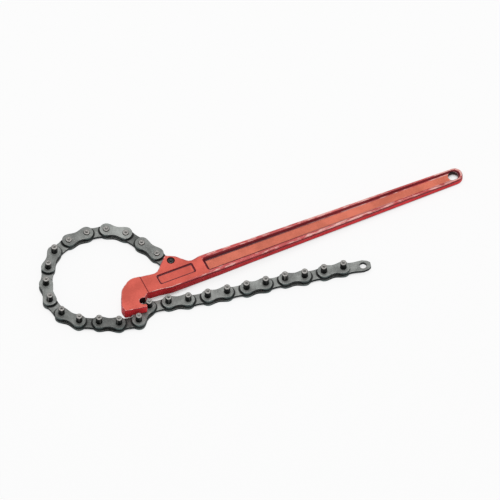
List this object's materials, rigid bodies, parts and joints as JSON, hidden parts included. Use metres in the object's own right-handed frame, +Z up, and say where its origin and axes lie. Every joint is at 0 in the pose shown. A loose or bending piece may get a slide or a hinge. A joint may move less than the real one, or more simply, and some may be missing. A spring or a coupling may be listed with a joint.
{
  "type": "chain wrench",
  "caption": "Forged wrench handle with an open hook nose and a flat plate chain pinned to it; tall pins on one face of the chain hook into the nose to grip a pipe or filter.",
  "frame": {"origin": "middle of the footprint of the whole wrench, on the ground that the chain lies on", "axes": "+X along the handle from its head to its hanging hole, +Z up along the pins of the chain"},
  "size_m": [0.3542, 0.1304, 0.0153],
  "materials": {
    "handle_paint": "satin red paint over a forging",
    "inner_plate_steel": "dark grey steel, satin",
    "outer_plate_steel": "dark grey steel, satin",
    "hook_pin_steel": "ground steel, satin",
    "ear_pin_steel": "blackened steel"
  },
  "bodies": {
    "handle": {"handle": "handle_paint", "ear_pin": "ear_pin_steel"},
    "inner_link_01": {"inner_link_01": "inner_plate_steel"},
    "riveted_link_01": {"riveted_link_01": "outer_plate_steel"},
    "inner_link_02": {"inner_link_02": "inner_plate_steel"},
    "riveted_link_02": {"riveted_link_02": "outer_plate_steel"},
    "inner_link_03": {"inner_link_03": "inner_plate_steel"},
    "riveted_link_03": {"riveted_link_03": "outer_plate_steel"},
    "inner_link_04": {"inner_link_04": "inner_plate_steel"},
    "hook_link_04": {"lower_plate_04": "outer_plate_steel", "upper_plate_04": "outer_plate_steel", "hook_pin_07": "hook_pin_steel", "hook_pin_08": "hook_pin_steel"},
    "inner_link_05": {"inner_link_05": "inner_plate_steel"},
    "hook_link_05": {"lower_plate_05": "outer_plate_steel", "upper_plate_05": "outer_plate_steel", "hook_pin_09": "hook_pin_steel", "hook_pin_10": "hook_pin_steel"},
    "inner_link_06": {"inner_link_06": "inner_plate_steel"},
    "hook_link_06": {"lower_plate_06": "outer_plate_steel", "upper_plate_06": "outer_plate_steel", "hook_pin_11": "hook_pin_steel", "hook_pin_12": "hook_pin_steel"},
    "inner_link_07": {"inner_link_07": "inner_plate_steel"},
    "hook_link_07": {"lower_plate_07": "outer_plate_steel", "upper_plate_07": "outer_plate_steel", "hook_pin_13": "hook_pin_steel", "hook_pin_14": "hook_pin_steel"},
    "inner_link_08": {"inner_link_08": "inner_plate_steel"},
    "hook_link_08": {"lower_plate_08": "outer_plate_steel", "upper_plate_08": "outer_plate_steel", "hook_pin_15": "hook_pin_steel", "hook_pin_16": "hook_pin_steel"},
    "inner_link_09": {"inner_link_09": "inner_plate_steel"},
    "hook_link_09": {"lower_plate_09": "outer_plate_steel", "upper_plate_09": "outer_plate_steel", "hook_pin_17": "hook_pin_steel", "hook_pin_18": "hook_pin_steel"},
    "inner_link_10": {"inner_link_10": "inner_plate_steel"},
    "hook_link_10": {"lower_plate_10": "outer_plate_steel", "upper_plate_10": "outer_plate_steel", "hook_pin_19": "hook_pin_steel", "hook_pin_20": "hook_pin_steel"},
    "inner_link_11": {"inner_link_11": "inner_plate_steel"},
    "hook_link_11": {"lower_plate_11": "outer_plate_steel", "upper_plate_11": "outer_plate_steel", "hook_pin_21": "hook_pin_steel", "hook_pin_22": "hook_pin_steel"},
    "inner_link_12": {"inner_link_12": "inner_plate_steel"},
    "hook_link_12": {"lower_plate_12": "outer_plate_steel", "upper_plate_12": "outer_plate_steel", "hook_pin_23": "hook_pin_steel", "hook_pin_24": "hook_pin_steel"},
    "inner_link_13": {"inner_link_13": "inner_plate_steel"},
    "hook_link_13": {"lower_plate_13": "outer_plate_steel", "upper_plate_13": "outer_plate_steel", "hook_pin_25": "hook_pin_steel", "hook_pin_26": "hook_pin_steel"},
    "inner_link_14": {"inner_link_14": "inner_plate_steel"}
  },
  "joints": [
    {"name": "hinge_00", "type": "hinge", "parent": "handle", "child": "inner_link_01", "pos_m": [-0.07075, 0.0028, 0], "axis": [0, 0, 1], "range_deg": [-1, 12]},
    {"name": "hinge_01", "type": "hinge", "parent": "inner_link_01", "child": "riveted_link_01", "pos_m": [-0.07566, 0.0179, 0], "axis": [0, 0, -1], "range_deg": [-11, 1]},
    {"name": "hinge_02", "type": "hinge", "parent": "riveted_link_01", "child": "inner_link_02", "pos_m": [-0.08237, 0.03229, 0], "axis": [0, 0, 1], "range_deg": [-1, 10]},
    {"name": "hinge_03", "type": "hinge", "parent": "inner_link_02", "child": "riveted_link_02", "pos_m": [-0.08982, 0.0463, 0], "axis": [0, 0, -1], "range_deg": [-1.75, 1]},
    {"name": "hinge_04", "type": "hinge", "parent": "riveted_link_02", "child": "inner_link_03", "pos_m": [-0.10233, 0.05608, 0], "axis": [0, 0, 1], "range_deg": [-1, 1.25]},
    {"name": "hinge_05", "type": "hinge", "parent": "inner_link_03", "child": "riveted_link_03", "pos_m": [-0.1178, 0.05965, 0], "axis": [0, 0, -1], "range_deg": [-1, 1]},
    {"name": "hinge_06", "type": "hinge", "parent": "riveted_link_03", "child": "inner_link_04", "pos_m": [-0.13366, 0.0591, 0], "axis": [0, 0, 1], "range_deg": [-1, 1]},
    {"name": "hinge_07", "type": "hinge", "parent": "inner_link_04", "child": "hook_link_04", "pos_m": [-0.14867, 0.05393, 0], "axis": [0, 0, -1], "range_deg": [-0.75, 0.75]},
    {"name": "hinge_08", "type": "hinge", "parent": "hook_link_04", "child": "inner_link_05", "pos_m": [-0.1595, 0.04232, 0], "axis": [0, 0, 1], "range_deg": [-1, 1]},
    {"name": "hinge_09", "type": "hinge", "parent": "inner_link_05", "child": "hook_link_05", "pos_m": [-0.16767, 0.02871, 0], "axis": [0, 0, -1], "range_deg": [-1, 1]},
    {"name": "hinge_10", "type": "hinge", "parent": "hook_link_05", "child": "inner_link_06", "pos_m": [-0.17152, 0.01331, 0], "axis": [0, 0, 1], "range_deg": [-1.25, 1.25]},
    {"name": "hinge_11", "type": "hinge", "parent": "inner_link_06", "child": "hook_link_06", "pos_m": [-0.16849, -0.00228, 0], "axis": [0, 0, -1], "range_deg": [-1.25, 1.75]},
    {"name": "hinge_12", "type": "hinge", "parent": "hook_link_06", "child": "inner_link_07", "pos_m": [-0.15893, -0.01496, 0], "axis": [0, 0, 1], "range_deg": [-2.75, 1.5]},
    {"name": "hinge_13", "type": "hinge", "parent": "inner_link_07", "child": "hook_link_07", "pos_m": [-0.14505, -0.02265, 0], "axis": [0, 0, -1], "range_deg": [-1.75, 60]},
    {"name": "hinge_14", "type": "hinge", "parent": "hook_link_07", "child": "inner_link_08", "pos_m": [-0.13103, -0.0301, 0], "axis": [0, 0, 1], "range_deg": [-60, 2.5]},
    {"name": "hinge_15", "type": "hinge", "parent": "inner_link_08", "child": "hook_link_08", "pos_m": [-0.1157, -0.03421, 0], "axis": [0, 0, -1], "range_deg": [-4, 60]},
    {"name": "hinge_16", "type": "hinge", "parent": "hook_link_08", "child": "inner_link_09", "pos_m": [-0.10254, -0.02534, 0], "axis": [0, 0, 1], "range_deg": [-60, 7]},
    {"name": "hinge_17", "type": "hinge", "parent": "inner_link_09", "child": "hook_link_09", "pos_m": [-0.0869, -0.02809, 0], "axis": [0, 0, -1], "range_deg": [-10, 60]},
    {"name": "hinge_18", "type": "hinge", "parent": "hook_link_09", "child": "inner_link_10", "pos_m": [-0.07172, -0.03273, 0], "axis": [0, 0, 1], "range_deg": [-60, 12]},
    {"name": "hinge_19", "type": "hinge", "parent": "inner_link_10", "child": "hook_link_10", "pos_m": [-0.05619, -0.03603, 0], "axis": [0, 0, -1], "range_deg": [-14, 60]},
    {"name": "hinge_20", "type": "hinge", "parent": "hook_link_10", "child": "inner_link_11", "pos_m": [-0.04056, -0.03879, 0], "axis": [0, 0, 1], "range_deg": [-60, 16]},
    {"name": "hinge_21", "type": "hinge", "parent": "inner_link_11", "child": "hook_link_11", "pos_m": [-0.02498, -0.04182, 0], "axis": [0, 0, -1], "range_deg": [-19, 60]},
    {"name": "hinge_22", "type": "hinge", "parent": "hook_link_11", "child": "inner_link_12", "pos_m": [-0.0093, -0.0443, 0], "axis": [0, 0, 1], "range_deg": [-60, 24]},
    {"name": "hinge_23", "type": "hinge", "parent": "inner_link_12", "child": "hook_link_12", "pos_m": [0.00638, -0.04679, 0], "axis": [0, 0, -1], "range_deg": [-30, 60]},
    {"name": "hinge_24", "type": "hinge", "parent": "hook_link_12", "child": "inner_link_13", "pos_m": [0.02172, -0.0509, 0], "axis": [0, 0, 1], "range_deg": [-60, 40]},
    {"name": "hinge_25", "type": "hinge", "parent": "inner_link_13", "child": "hook_link_13", "pos_m": [0.0374, -0.05338, 0], "axis": [0, 0, -1], "range_deg": [-60, 60]},
    {"name": "hinge_26", "type": "hinge", "parent": "hook_link_13", "child": "inner_link_14", "pos_m": [0.05298, -0.05641, 0], "axis": [0, 0, 1], "range_deg": [-60, 60]}
  ]
}
